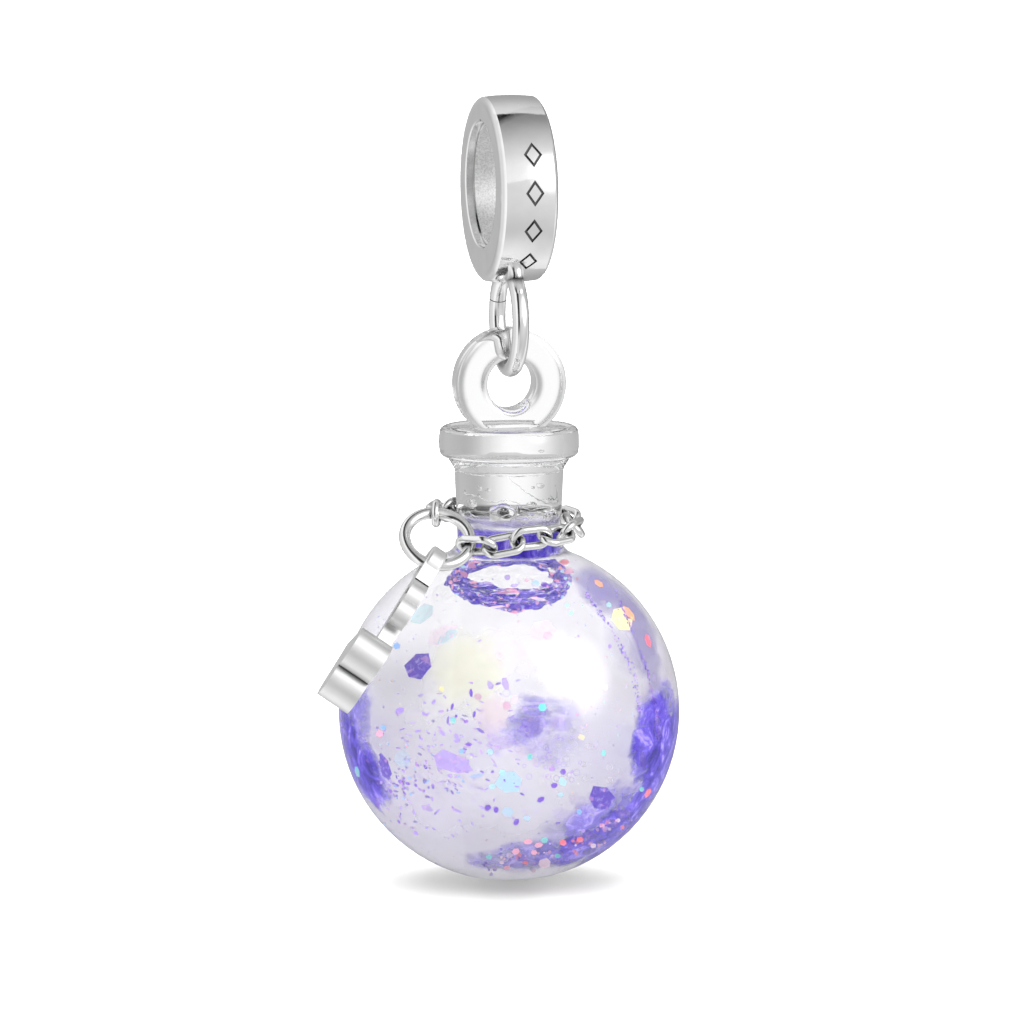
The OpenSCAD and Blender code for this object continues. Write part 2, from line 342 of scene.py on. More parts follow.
def wet_wall(t, p):
    """The bottle's inside, which the filling and the plug touch."""
    from_globe = vector(t, "LENGTH", vector(t, "ADD", p, (0, 0, -GLOBE_Z)))
    from_axis = vector(t, "LENGTH", vector(t, "MULTIPLY", p, (1, 1, 0)))
    below_top = step(t, parts(t, p)[2], *WET_NECK_Z, 1, 0)
    return maths(t, "MAXIMUM", step(t, from_globe, *WET_GLOBE_R, 1, 0),
                 times(t, step(t, from_axis, *WET_NECK_R, 1, 0), below_top))


def wet_plug(t, p):
    """The side of the plug, which is stuck into the neck."""
    return step(t, parts(t, p)[2], *WET_PLUG_Z, 1, 0)


# Filling

# Purple clouds in the filling: place in the photo, size and softness in degrees, and strength
CLOUDS = [
    (344, 748, 15, 10, 1.0),
    (345, 722, 14, 12, 0.65),
    (352, 700, 8, 10, 0.35),
    (362, 772, 10, 8, 1.0),
    (372, 735, 8, 10, 0.22),
    (655, 742, 15, 5, 1.0),
    (672, 748, 14, 8, 1.0),
    (668, 715, 7, 9, 0.6),
    (658, 768, 13, 4, 1.0),
    (645, 795, 9, 6, 0.95),
    (626, 820, 11, 7, 1.0),
    (615, 808, 8, 10, 0.6),
    (603, 833, 12, 6, 1.0),
    (628, 832, 10, 7, 0.9),
    (600, 852, 9, 6, 0.8),
    (588, 824, 8, 10, 0.65),
    (577, 846, 12, 6, 0.9),
    (556, 832, 6, 8, 0.35),
    (548, 854, 9, 6, 0.68),
    (517, 857, 8, 6, 0.60),
    (490, 860, 6, 6, 0.5),
    (534, 714, 4, 9, 0.52),
    (520, 724, 3, 8, 0.42),
    (558, 714, 3, 10, 0.36),
    (552, 738, 8, 8, 0.30),
    (470, 742, 9, 10, 0.20),
]
# Tints of the pale liquid, and painted shade: the dark blue-greys down the right side stand for the glass's
# shaded edge, and the greys lower down for shade below; place in the photo, size and softness in degrees,
# strength and colour
TINTS_AND_PAINTED_SHADE = [
    (464, 668, 4, 18, 0.40, (0.78, 0.78, 0.52)),
    (490, 716, 3, 7, 0.36, (0.74, 0.55, 0.60)),
    (512, 645, 6, 9, 0.25, (0.80, 0.70, 0.80)),
    (548, 650, 5, 8, 0.25, (0.72, 0.80, 0.90)),
    (425, 700, 8, 9, 0.25, (0.76, 0.75, 0.76)),
    # Painted shade down the right side, where the glass's edge is shaded
    (606, 590, 4, 17, 0.52, (0.14, 0.11, 0.36)),
    (636, 622, 6, 10, 0.55, (0.15, 0.12, 0.34)),
    (645, 655, 8, 7, 0.52, (0.17, 0.14, 0.36)),
    (652, 705, 7, 7, 0.48, (0.20, 0.16, 0.40)),
    (622, 650, 5, 8, 0.34, (0.26, 0.23, 0.42)),
    (600, 745, 12, 12, 0.22, (0.34, 0.32, 0.60)),
    (590, 582, 5, 9, 0.30, (0.10, 0.07, 0.40)),
    (395, 735, 7, 9, 0.15, (0.58, 0.55, 0.74)),
    (536, 744, 4, 9, 0.32, (0.42, 0.36, 0.56)),
    (506, 738, 4, 8, 0.25, (0.50, 0.40, 0.72)),
    # Painted shade lower down
    (430, 800, 14, 12, 0.30, (0.66, 0.63, 0.76)),
    (515, 800, 16, 12, 0.30, (0.66, 0.64, 0.76)),
]
# Purple clouds on the far side: azimuth, elevation, size and softness in degrees, and strength
FAR_CLOUDS = [
    (30, -12, 20, 14, 0.8),
    (128, 8, 14, 12, 0.6),
    (140, -42, 20, 14, 0.9),
    (50, -50, 18, 12, 0.9),
    (25, 42, 9, 12, 0.4),
]
PAINTED_GLOW_SPOT = (592, 672)  # where the pale liquid is thinned for a painted highlight of the lamp's glow on the globe, in the photo
LIQUID_SHADOW = 0.22
# The liquid's colours low and high up; the greyer low one is painted shade
LIQUID_SHADED_LOW = (0.49, 0.465, 0.60)
LIQUID_HIGH = (0.84, 0.83, 0.91)
# Purple glitter from the throat up the neck: its foot and top, and its strength by the share of the way up.
# The dip near 0.7 leaves a pale band across the neck, a painted highlight
THROAT_Z = (SHOULDER_Z - 1.35, FILL_TOP_Z + 0.15)
THROAT = [(0.0, 0), (0.06, 0.5), (0.14, 0.9), (0.55, 0.95), (0.64, 0.8), (0.69, 0.12), (0.76, 0.12),
          (0.81, 0.30), (0.88, 0.22), (0.96, 0.1)]


def direction(azimuth, elevation):
    a, e = math.radians(azimuth), math.radians(elevation)
    return Vector((math.cos(a) * math.cos(e), math.sin(a) * math.cos(e), math.sin(e)))


def on_wall(x, y):
    """The direction from the globe's centre to the filling's surface at that place of the photo."""
    return seen_at(x, y, FILL_R).normalized()


def soft_spot(t, d, towards, size, soft, strength):
    """A round spot about a direction, with its size and softness in degrees."""
    outer = math.cos(math.radians(size + soft))
    inner = math.cos(math.radians(max(size - soft, 0)))
    return step(t, vector(t, "DOT_PRODUCT", d, towards), outer, inner, 0, strength)


def purple_glitter(t, p, d, warped):
    """How much purple glitter there is: clouds, a band round the throat with a pale gap for a painted
    highlight, and streaks in the neck.
    """
    sway = times(t, maths(t, "SUBTRACT", noise(t, p, 1.1, 3), 0.5), 0.35)
    level = maths(t, "ADD", parts(t, p)[2], sway)
    level = step_linear(t, level, *THROAT_Z)
    # The table's dip leaves a painted highlight band
    share = ramp(t, level, *((at, grey(strength)) for at, strength in THROAT))
    spots = [(on_wall(x, y), *rest) for x, y, *rest in CLOUDS]
    spots += [(direction(azimuth, elevation), *rest) for azimuth, elevation, *rest in FAR_CLOUDS]
    for towards, size, soft, strength in spots:
        share = maths(t, "MAXIMUM", share, soft_spot(t, warped, towards, size, soft, strength))
    strands = noise(t, vector(t, "MULTIPLY", d, (4, 4, 9)), 1.5, 7, 0.7, 1.5)
    return maths(t, "MULTIPLY", share, step(t, strands, 0.30, 0.55, 0.72, 1.25), clamp=True)


def pale_liquid(t, z, d, warped):
    """Colour and strength of the liquid: clear above, greyer below as painted shade, and stronger when seen
    from within.
    """
    inner = put(t, "ShaderNodeNewGeometry").outputs["Backfacing"]
    milk = step(t, z, GLOBE_Z - 3.5, GLOBE_Z + 2.0, 0.75, 0.36)
    milk = times(t, milk, step(t, noise(t, d, 2.2, 4), 0.3, 0.7, 0.8, 1.15))
    milk = times(t, milk, step(t, inner, 0.2, 0.8, 0.18, 1.0))
    # Painted highlight: the liquid is thinner where the lamp's glow shows
    glow_near = vector(t, "DOT_PRODUCT", d, on_wall(*PAINTED_GLOW_SPOT))
    milk = times(t, milk, step(t, glow_near, 0.80, 0.97, 1, 0.4))
    # Painted shade: greyer towards the bottom
    pale = mix_colour(t, step(t, z, GLOBE_Z - 4, GLOBE_Z + 2), LIQUID_SHADED_LOW, LIQUID_HIGH)
    hue = ramp(t, noise(t, d, 2.3, 2), (0.34, (1.0, 0.99, 0.90)), (0.46, grey(1)),
               (0.56, (0.98, 0.93, 0.98)), (0.68, (0.93, 0.96, 1.0)))
    pale = mix_colour(t, 0.8, pale, hue, blend="MULTIPLY")
    outer = maths(t, "SUBTRACT", 1.0, inner)
    # Tints of the liquid, with the painted shade among them
    for x, y, size, soft, strength, tint in TINTS_AND_PAINTED_SHADE:
        spot = times(t, soft_spot(t, warped, on_wall(x, y), size, soft, strength), outer)
        pale = mix_colour(t, step(t, spot, 0.0, 0.45), pale, tint)
        milk = mix_value(t, spot, milk, 1.0)
    return pale, milk


def filling():
    mat, t = new_material("glitter_liquid")
    p = place(t)
    d = vector(t, "NORMALIZE", vector(t, "ADD", p, (0, 0, -GLOBE_Z)))
    swirl = vector(t, "SUBTRACT", noise(t, d, 3.5, 4, 0.6, 0.5, out="Color"), (0.5, 0.5, 0.5))
    warped = vector(t, "NORMALIZE", vector(t, "ADD", d, vector(t, "SCALE", swirl, 0.28)))
    glitter = purple_glitter(t, p, d, warped)
    pale, milk = pale_liquid(t, parts(t, p)[2], d, warped)
    purple = ramp(t, noise(t, d, 7, 9, 0.72, 0.8), (0.36, (0.026, 0.014, 0.24)),
                  (0.46, (0.065, 0.038, 0.46)), (0.55, (0.14, 0.09, 0.66)), (0.66, (0.46, 0.36, 0.92)))
    colour = mix_colour(t, step(t, glitter, 0.1, 0.5), pale, purple)
    alpha = maths(t, "MAXIMUM", glitter, milk, clamp=True)
    shader = principled(t, Base_Color=colour, Roughness=0.6, Specular_IOR_Level=0.05, Alpha=alpha)
    finish_inside(t, shader, shade=LIQUID_SHADOW)
    return mat


# Flakes

# Colours of the glitter
DARK = (0.07, 0.03, 0.48)
PURPLE = (0.16, 0.06, 0.62)
LILAC = (0.42, 0.28, 0.86)
BLUE = (0.24, 0.48, 0.90)
SKY = (0.42, 0.72, 0.94)
CYAN = (0.42, 0.84, 0.92)
TEAL = (0.12, 0.82, 0.74)
PINK = (0.92, 0.42, 0.58)
RED = (0.92, 0.14, 0.20)
ORANGE = (0.98, 0.42, 0.18)
YELLOW = (0.99, 0.85, 0.42)
ROSE = (0.92, 0.72, 0.86)
MAUVE = (0.66, 0.36, 0.50)
# Flakes as the photo shows them: place, length, width, turn, colour, and how solid they are if not 0.9
FLAKES = [
    (416.7, 664.5, 36, 22, 50, DARK),
    (383.2, 766, 33, 11, -75, DARK),
    (597.3, 796.2, 27, 24, 60, DARK),
    (449.8, 760, 46, 18, -20, LILAC, 0.6),
    (507, 779, 29, 23, 10, SKY, 0.75),
    (618.5, 618.5, 30, 20, -50, YELLOW),
    (626, 613, 19, 7, -52, ORANGE),
    (596, 583, 11, 5, -35, ORANGE),
    (645, 640, 15, 5, -70, RED),
    (420.3, 612.6, 30, 15, 35, CYAN, 0.45),
    (440.3, 633.8, 34, 16, 30, ROSE, 0.4),
    (445, 636, 24, 9, 35, CYAN, 0.35),
    (539.4, 705.3, 9, 7, 0, TEAL),
    (451, 717.8, 7, 6, 0, TEAL, 0.6),
    (395, 645, 8, 7, 20, BLUE),
    (540, 630, 27, 19, 10, ROSE, 0.35),
    (545, 635, 11, 8, 10, PINK, 0.3),
    (503, 682, 8, 13, 15, LILAC, 0.6),
    (504.5, 703.4, 9, 8, 0, MAUVE, 0.7),
    (476, 694.5, 8, 6, 0, MAUVE, 0.6),
    (469, 691, 4, 9, 5, PURPLE),
    (450.3, 704.6, 9, 3, 75, PURPLE),
    (472.2, 711.7, 8, 3, 75, PURPLE),
    (464, 719, 6, 3, 20, PURPLE),
    (466.3, 742, 9, 3.5, 0, PURPLE),
    (422.6, 712, 7, 3, -35, LILAC),
    (398, 709, 10, 6, 30, LILAC),
    (377.8, 732.2, 8, 7, 30, PINK),
    (381.8, 726, 6, 5, 0, BLUE),
    (485.6, 805, 7, 6, 0, PURPLE),
    (494, 807, 6, 6, 0, PURPLE),
    (514, 819.8, 8, 5, 60, PURPLE),
    (538.3, 796.6, 9, 5, 30, PURPLE),
    (551.2, 782.5, 7, 5, 0, PURPLE),
    (560, 769, 6, 6, 0, PURPLE),
    (549, 766, 6, 5, 0, LILAC),
    (560, 779, 9, 9, 0, CYAN, 0.6),
    (557.6, 792.4, 6, 5, 0, CYAN, 0.6),
    (524, 815.5, 7, 5, 0, SKY),
    (505, 809, 13, 11, 0, SKY, 0.5),
    (541.8, 838, 8, 6, 0, TEAL, 0.6),
    (490, 783.7, 7, 5, 0, CYAN, 0.6),
    (576, 809.6, 6, 6, 0, BLUE),
    (577.2, 838.2, 8, 6, 15, RED),
    (525.3, 839.6, 10, 6, 0, PINK),
    (536, 843, 9, 5, 10, PINK),
    (560.2, 841, 8, 6, -20, RED),
    (513.5, 849.7, 8, 6, 0, PINK),
    (531.2, 851, 7, 5, 0, PINK),
    (523, 861, 7, 4, 0, RED),
    (541.8, 862, 15, 9, 15, ROSE, 0.8),
    (504.7, 866.7, 8, 4, 0, PINK),
    (590, 850, 7, 5, 30, DARK),
    (554.8, 854.7, 7, 5, 0, TEAL, 0.6),
    (486.6, 855, 6, 5, 0, TEAL, 0.6),
    (600.3, 750.9, 6, 7, 0, TEAL, 0.6),
    (645, 793, 12, 5, 60, RED),
    (638.5, 788.5, 6, 5, 40, TEAL, 0.6),
    (439.9, 687.4, 6, 5, 0, YELLOW),
    (606, 604.5, 6, 5, 30, CYAN, 0.6),
    (564, 604.5, 6, 5, 10, CYAN, 0.6),
    (568, 612, 7, 5, 20, SKY),
    (606.6, 645.5, 4, 5, 0, LILAC),
    (459.5, 748.5, 6, 5, 0, BLUE),
    (487.8, 749, 7, 6, 0, SKY),
    (527, 754, 6, 6, 0, TEAL, 0.6),
    (400, 757, 20, 18, 20, SKY, 0.3),
    (512, 697, 10, 8, 40, ROSE, 0.3),
    (497, 655, 8, 7, 0, ROSE),
    (355, 772, 5, 10, 10, TEAL, 0.6),
    (375.8, 803, 7, 4, -60, PURPLE),
    (399, 780, 7, 4, -20, PURPLE),
    (406, 781.5, 6, 3, -20, PURPLE),
    (413.5, 832, 6, 4, -35, LILAC),
    (578, 735, 7, 6, 0, YELLOW, 0.6),
    (602, 686, 5, 6, 0, ROSE),
    (533, 583, 9, 6, 0, SKY, 0.7),
    (541, 584, 8, 5, 0, PURPLE, 0.6),
    (505, 577, 7, 5, 0, LILAC, 0.7),
    (512, 585, 9, 4, 10, LILAC, 0.6),
    (524, 580, 5, 4, 0, PINK, 0.6),
    (486, 583, 12, 4, -10, LILAC, 0.5),
    (530, 725, 30, 20, 20, PURPLE, 0.25),
    (556, 722, 26, 14, -30, LILAC, 0.25),
    (500, 740, 34, 14, 10, LILAC, 0.25),
    (575, 798, 22, 12, -25, PURPLE, 0.1),
    (560, 812, 26, 12, -20, LILAC, 0.15),
    (620, 812, 22, 12, -50, DARK, 0.35),
    (592, 836, 26, 10, -25, DARK, 0.4),
    (655, 728, 10, 22, 5, DARK, 0.4),
    (640, 760, 8, 20, 5, DARK, 0.4),
    (346, 766, 8, 20, -5, DARK, 0.6),
    (352, 788, 7, 14, -20, PURPLE, 0.3),
    (341, 740, 9, 28, 2, DARK, 0.6),
    (339, 716, 6, 14, 0, DARK, 0.45),
    (462, 574, 10, 5, -30, PINK, 0.6),
    (470, 566, 9, 5, -20, PINK, 0.6),
    (562, 562, 10, 6, 0, RED, 0.7),
    (566, 571, 9, 6, 30, PINK, 0.6),
    (484, 598, 26, 5, 5, DARK, 0.5),
    (520, 606, 30, 5, -3, DARK, 0.5),
    (505, 592, 30, 3, 3, PINK, 0.4),
    (535, 598, 20, 3, -10, ROSE, 0.6),
    (495, 606, 18, 2.5, 5, ROSE, 0.7),
    (432, 700, 7, 3, 60, LILAC, 0.7),
    (446, 718, 9, 2.5, 80, PURPLE, 0.7),
    (478, 728, 10, 3, -30, PURPLE, 0.7),
    (440, 730, 10, 4, -40, LILAC, 0.6),
    (455, 735, 11, 4, -60, LILAC, 0.6),
    (500, 770, 7, 6, 0, CYAN, 0.7),
    (488, 683, 10, 6, -60, LILAC, 0.5),
    (474, 773, 16, 4, 8, BLUE, 0.4),
    (482, 806, 14, 3, -30, LILAC, 0.5),
    (455, 808, 12, 3, -20, LILAC, 0.6),
    (425, 806, 14, 5, -20, LILAC, 0.5),
]
# Short dashes: how many, place in the photo, spread, lengths, widths, middle and spread of the turn,
# colours, distances from the filling's surface in mm, and how solid they are
DASHES = [
    (190, (465, 752), (42, 42), (3, 7), (1.2, 2.6), (-20, 30), (PURPLE, LILAC, LILAC),
     (-0.1, 0.008), (0.4, 0.9)),
    (110, (412, 782), (24, 26), (2.5, 6), (1.2, 3), (-50, 25), (PURPLE, DARK, LILAC, BLUE),
     (0.008, 0.008), (0.3, 0.8)),
]
# Tiny bubbles: how many, place in the photo, spread, sizes, colours, and mm from the filling's surface
HOOPS = [
    (75, (536, 741), (13, 10), (1.4, 3), (grey(0.55), LILAC, grey(0.9)), -0.05),
    (60, (556, 758), (20, 18), (1.6, 3.6), (grey(0.5), grey(0.6), LILAC), 0.006),
    (60, (505, 690), (32, 38), (1.5, 4), (grey(0.6), grey(0.7), LILAC), -0.05),
]
HOOP_SIDES = 10
HOOP_LINE = 0.7  # thickness of their outline, in pixels
HOOP_SOLID = 0.45
# Glitter in the cloud below, on the ring under the throat and in two arcs: how many, where it starts or
# has its middle in the photo, and how far it runs, in pixels
LOW_CLOUD_COUNT = 110
LOW_CLOUD_AT = (485, 862)
LOW_CLOUD_REACH = (150, -50)
RING_COUNT = 60
RING_AT = (509, 579)
RING_HALF = (58, 26)
LEFT_ARC_COUNT = 200
LEFT_ARC_AT = (583, 592)
LEFT_ARC_REACH = (52, 118)
RIGHT_ARC_COUNT = 220
RIGHT_ARC_AT = (612, 590)
RIGHT_ARC_REACH = (44, 150)
LARGE = 12  # a flake of this length in pixels or more is bent to the round wall
# Flakes all round: how many are tried, shares of the colours, and sizes in mm
LOOSE_COUNT = 1500
SHARES = [(PURPLE, 8), (DARK, 3), (LILAC, 6), (BLUE, 2), (SKY, 2), (CYAN, 2), (TEAL, 1), (PINK, 2),
          (RED, 1), (ORANGE, 1), (YELLOW, 1)]
HIDDEN = -0.90  # none lie straight behind the middle, where the globe magnifies them
FRONT = -0.1  # above this they are on the camera's side
FRONT_SIZES = (0.03, 0.04, 0.05, 0.06, 0.08)
OTHER_SIZES = (0.05, 0.06, 0.07, 0.08, 0.10, 0.12)


def hexagon(length, width, turn, rng):
    """Corners of a hexagon in its own plane, a little irregular."""
    c, s = math.cos(turn), math.sin(turn)
    out = []
    for i in range(6):
        a = math.pi / 3 * i
        wobble = rng.uniform(0.8, 1.1)
        u = length / 2 * math.cos(a) * wobble
        v = width / 2 * math.sin(a) * 1.15 * wobble
        out.append((u * c - v * s, u * s + v * c))
    return out


class Leaves:
    """Thin flat faces of glitter in one mesh, each with its own colour."""

    def __init__(self, seed):
        self.rng = random.Random(seed)
        self.mesh = bmesh.new()
        self.tint = self.mesh.loops.layers.float_color.new("tint")

    def leaf(self, corners, colour, solid):
        face = self.mesh.faces.new([self.mesh.verts.new(corner * MM) for corner in corners])
        for loop in face.loops:
            loop[self.tint] = (*colour, solid)

    def flake(self, x, y, length, width, turn, colour, radius, solid=0.9):
        """A flake at a place of the photo, on a ball of that radius."""
        corners = [GLOBE_CENTRE + seen_at(x + u, y - v, radius)
                   for u, v in hexagon(length, width, math.radians(turn), self.rng)]
        if length < LARGE:
            self.leaf(corners, colour, solid)
            return
        middle = GLOBE_CENTRE + seen_at(x, y, radius)
        for a, b in zip(corners, corners[1:] + corners[:1]):
            self.leaf((middle, a, b), colour, solid)

    def hoop(self, x, y, size, colour, radius):
        """A tiny ring, such as the outline of a small bubble."""
        for i in range(HOOP_SIDES):
            a, b = (2 * math.pi * (i + k) / HOOP_SIDES for k in (0, 1))
            ends = ((size, a), (size, b), (size - HOOP_LINE, b), (size - HOOP_LINE, a))
            corners = [GLOBE_CENTRE + seen_at(x + r * math.cos(turn), y - r * math.sin(turn), radius)
                       for r, turn in ends]
            self.leaf(corners, colour, HOOP_SOLID)


def dashes(leaves):
    """Short purple dashes across the middle and at the lower left."""
    rng = leaves.rng
    for count, at, spread, lengths, widths, turns, colours, depths, solids in DASHES:
        for i in range(count):
            x, y = rng.gauss(at[0], spread[0]), rng.gauss(at[1], spread[1])
            leaves.flake(x, y, rng.uniform(*lengths), rng.uniform(*widths), rng.gauss(*turns),
                         rng.choice(colours), FILL_R + depths[i % 2], rng.uniform(*solids))


def low_cloud_glitter(leaves):
    """Glitter in the purple cloud below."""
    rng = leaves.rng
    for _ in range(LOW_CLOUD_COUNT):
        f = rng.random()
        x = LOW_CLOUD_AT[0] + LOW_CLOUD_REACH[0] * f + rng.gauss(0, 5)
        y = LOW_CLOUD_AT[1] + LOW_CLOUD_REACH[1] * f * f + rng.gauss(0, 7)
        size = rng.uniform(1.5, 5)
        leaves.flake(x, y, size * 1.3, size, rng.uniform(0, 180),
                     rng.choice((PINK, LILAC, DARK, DARK, PURPLE, PURPLE, ROSE, RED)),
                     FILL_R + 0.003, rng.uniform(0.25, 0.8))


def ring_glitter(leaves):
    """Glitter round the ring under the throat."""
    rng = leaves.rng
    for _ in range(RING_COUNT):
        a = rng.uniform(0, 2 * math.pi)
        x = RING_AT[0] + RING_HALF[0] * math.cos(a) + rng.gauss(0, 4)
        y = RING_AT[1] + RING_HALF[1] * math.sin(a) + rng.gauss(0, 3)
        size = rng.uniform(1.2, 3.5)
        leaves.flake(x, y, size * 1.4, size, rng.uniform(0, 180),
                     rng.choice((PINK, ORANGE, PINK, CYAN, LILAC, ROSE)),
                     FILL_R - 0.06, rng.uniform(0.4, 0.9))


def hoops(leaves):
    """Tiny bubbles in the liquid."""
    rng = leaves.rng
    for count, at, spread, sizes, colours, depth in HOOPS:
        for _ in range(count):
            x, y = rng.gauss(at[0], spread[0]), rng.gauss(at[1], spread[1])
            leaves.hoop(x, y, rng.uniform(*sizes), rng.choice(colours), FILL_R + depth)


def dotted_arcs(leaves):
    """Dots in two arcs down the right side."""
    rng = leaves.rng
    for _ in range(LEFT_ARC_COUNT):
        f = rng.random()
        x = LEFT_ARC_AT[0] + LEFT_ARC_REACH[0] * math.sin(f * 1.6) + rng.gauss(0, 1.4)
        y = LEFT_ARC_AT[1] + LEFT_ARC_REACH[1] * f + rng.gauss(0, 1)
        size = rng.uniform(0.6, 1.8)
        leaves.flake(x, y, size, size, 0, rng.choice((PURPLE, DARK, LILAC)), FILL_R + 0.01)
    for _ in range(RIGHT_ARC_COUNT):
        f = rng.random()
        x = RIGHT_ARC_AT[0] + RIGHT_ARC_REACH[0] * math.sin(f * 1.5) + rng.gauss(0, 1.0)
        y = RIGHT_ARC_AT[1] + RIGHT_ARC_REACH[1] * f
        size = rng.uniform(0.8, 2.2)
        leaves.flake(x, y, size * 0.7, size, 0, rng.choice((PURPLE, DARK)), FILL_R + 0.012)


def all_round(leaves):
    """Small flakes all round, mostly at the wall. They are finer on the side that the photo shows."""
    rng = leaves.rng
    colours = [colour for colour, count in SHARES for _ in range(count)]
    for _ in range(LOOSE_COUNT):
        z = rng.uniform(-1, 0.93)
        a = rng.uniform(0, 2 * math.pi)
        flat = math.sqrt(1 - z * z)
        d = Vector((math.cos(a) * flat, math.sin(a) * flat, z))
        depth = FILL_R - 0.12 - abs(rng.gauss(0, 0.35))
        facing = d.dot(BACK)
        if facing < HIDDEN:
            continue
        size = rng.choice(FRONT_SIZES if facing > FRONT else OTHER_SIZES)
        tilt = (d + Vector([rng.gauss(0, 0.3) for _ in range(3)])).normalized()
        side = tilt.cross(Vector((0, 0, 1))).normalized()
        up = side.cross(tilt)
        shape = hexagon(size * rng.uniform(1, 2), size, rng.uniform(0, math.pi), rng)
        corners = [GLOBE_CENTRE + d * depth + side * u + up * v for u, v in shape]
        leaves.leaf(corners, rng.choice(colours), rng.uniform(0.4, 0.9))


def flake_material():
    mat, t = new_material("flake_tints")
    p = place(t)
    tint, solid = put(t, "ShaderNodeVertexColor", layer_name="tint").outputs
    facing = put(t, "ShaderNodeLayerWeight", {"Blend": 0.35}).outputs["Facing"]
    sheen = ramp(t, maths(t, "FRACT", maths(t, "MULTIPLY_ADD", facing, 1.4, noise(t, p, 1.3, 2))),
                 (0.2, (0.55, 0.85, 0.98)), (0.5, (0.80, 0.62, 0.98)), (0.8, (0.98, 0.66, 0.80)))
    # Each flake is mottled, lighter in places and pink at some edges
    mottle = noise(t, p, 5, 5, 0.7, 0.6)
    own = mix_colour(t, step(t, mottle, 0.48, 0.72, 0, 0.5), tint, (0.55, 0.50, 0.95))
    own = mix_colour(t, step(t, mottle, 0.42, 0.30, 0, 0.35), own, (0.08, 0.05, 0.50))
    own = mix_colour(t, step(t, noise(t, p, 3.1, 2), 0.56, 0.66, 0, 0.3), own, (0.90, 0.45, 0.75))
    colour = mix_colour(t, 0.05, own, sheen)
    finish_inside(t, principled(t, Base_Color=colour, Roughness=0.4, Specular_IOR_Level=0.1, Alpha=solid))
    return mat


def new_piece(name, bm, material):
    """Adds a mesh as a piece that rides on the drop."""
    mesh = bpy.data.meshes.new(name)
    bm.to_mesh(mesh)
    bm.free()
    piece = bpy.data.objects.new(name, mesh)
    add(piece)
    mesh.materials.append(material)
    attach(piece, "drop")


def glitter_flakes():
    """All the loose glitter in the liquid, as one piece."""
    leaves = Leaves(seed=7)
    for i, (x, y, length, width, turn, colour, *solid) in enumerate(FLAKES):
        leaves.flake(x, y, length, width, turn, colour, FILL_R + 0.022 - 0.002 * (i % 9), *solid)
    dashes(leaves)
    low_cloud_glitter(leaves)
    ring_glitter(leaves)
    hoops(leaves)
    dotted_arcs(leaves)
    all_round(leaves)
    new_piece("glitter_flakes", leaves.mesh, flake_material())


# Glitter collar

AROUND = 160  # steps round a ring
COLLAR_CORNERS = 14
COLLAR_R = 1.70
COLLAR_Z = GLOBE_Z + 4.15


def ring_mesh(profile):
    """A closed ring about the Z axis. The profile gives each corner's radius and height at a turn."""
    bm = bmesh.new()
    rows = []
    for k in range(AROUND):
        turn = 2 * math.pi * k / AROUND
        rows.append([bm.verts.new(mm(r * math.cos(turn), r * math.sin(turn), z))
                     for r, z in profile(turn)])
    bridge(bm, rows, rows[1:] + rows[:1])
    bmesh.ops.recalc_face_normals(bm, faces=bm.faces)
    return bm


def bridge(bm, rows, next_rows):
    """Smooth faces from each closed row of corners to the next."""
    for a, b in zip(rows, next_rows):
        for i in range(len(a)):
            j = (i + 1) % len(a)
            bm.faces.new((a[i], b[i], b[j], a[j])).smooth = True


def collar_material():
    mat, t = new_material("collar_glitter")
    p = place(t)
    strands = noise(t, vector(t, "MULTIPLY", p, (0.6, 0.6, 4.5)), 2.0, 8, 0.75, 1.0)
    colour = ramp(t, strands, (0.36, (0.02, 0.012, 0.26)), (0.48, (0.06, 0.035, 0.48)),
                  (0.55, (0.18, 0.12, 0.70)), (0.62, (0.88, 0.84, 0.98)))
    pinks = step(t, noise(t, p, 2.6, 2), 0.60, 0.68, 0, 0.8)
    colour = mix_colour(t, pinks, colour, (0.95, 0.40, 0.55))
    gaps = noise(t, vector(t, "MULTIPLY", p, (0.7, 0.7, 3)), 2.6, 6, 0.75)
    finish_inside(t, principled(t, Base_Color=colour, Roughness=0.5, Specular_IOR_Level=0.1,
                                Alpha=step(t, gaps, 0.42, 0.50)))
    return mat


def collar_profile(turn):
    """The ragged round section of the collar at that turn, in mm."""
    x, y = math.cos(turn), math.sin(turn)
    half = 0.32 + 0.13 * math.cos(turn + math.radians(104))
    out = []
    for i in range(COLLAR_CORNERS):
        a = 2 * math.pi * i / COLLAR_CORNERS
        shift = noise_3d((3 * x, 3 * y, 1.3 * a))
        r = COLLAR_R + (0.26 + 0.20 * shift) * math.cos(a) + 0.06 * noise_3d((9 * x, 9 * y, a))
        z = COLLAR_Z + (half + 0.25 * shift) * math.sin(a) + 0.10 * math.sin(2 * turn + 1)
        out.append((r, z))
    return out


def glitter_collar():
    """The purple glitter that floats as a ring under the throat."""
    new_piece("glitter_collar", ring_mesh(collar_profile), collar_material())


# Flaws in the glass

# Wavy lines where the stopper is stuck to the neck: name, radius, height, wave and seed, in mm
JOINT_LINES = [
    ("joint_line_upper", 2.34, -11.72, 0.08, 2.0),
    ("joint_line_lower", 2.16, -12.20, 0.05, 7.0),
    ("plug_foot_line", 1.36, -14.02, 0.20, 4.0),
]
# Bubbles in the plug and the lip: place in the photo, distance from the axis, and size in pixels
BUBBLES = [
    (503, 512, 1.05, 24, 19),
    (519, 509, 1.2, 5, 12),
    (544, 514, 0.95, 15, 10),
    (532, 514, 1.2, 6, 6),
    (478, 501, 1.0, 22, 8),
    (470, 490, 1.0, 6, 4),
    (524, 519, 1.15, 14, 4),
    (505, 521, 1.2, 12, 3),
    (549, 451, 2.75, 6, 3),
    (490, 427, 2.0, 4, 2),
    (537, 428, 2.0, 5, 2),
]
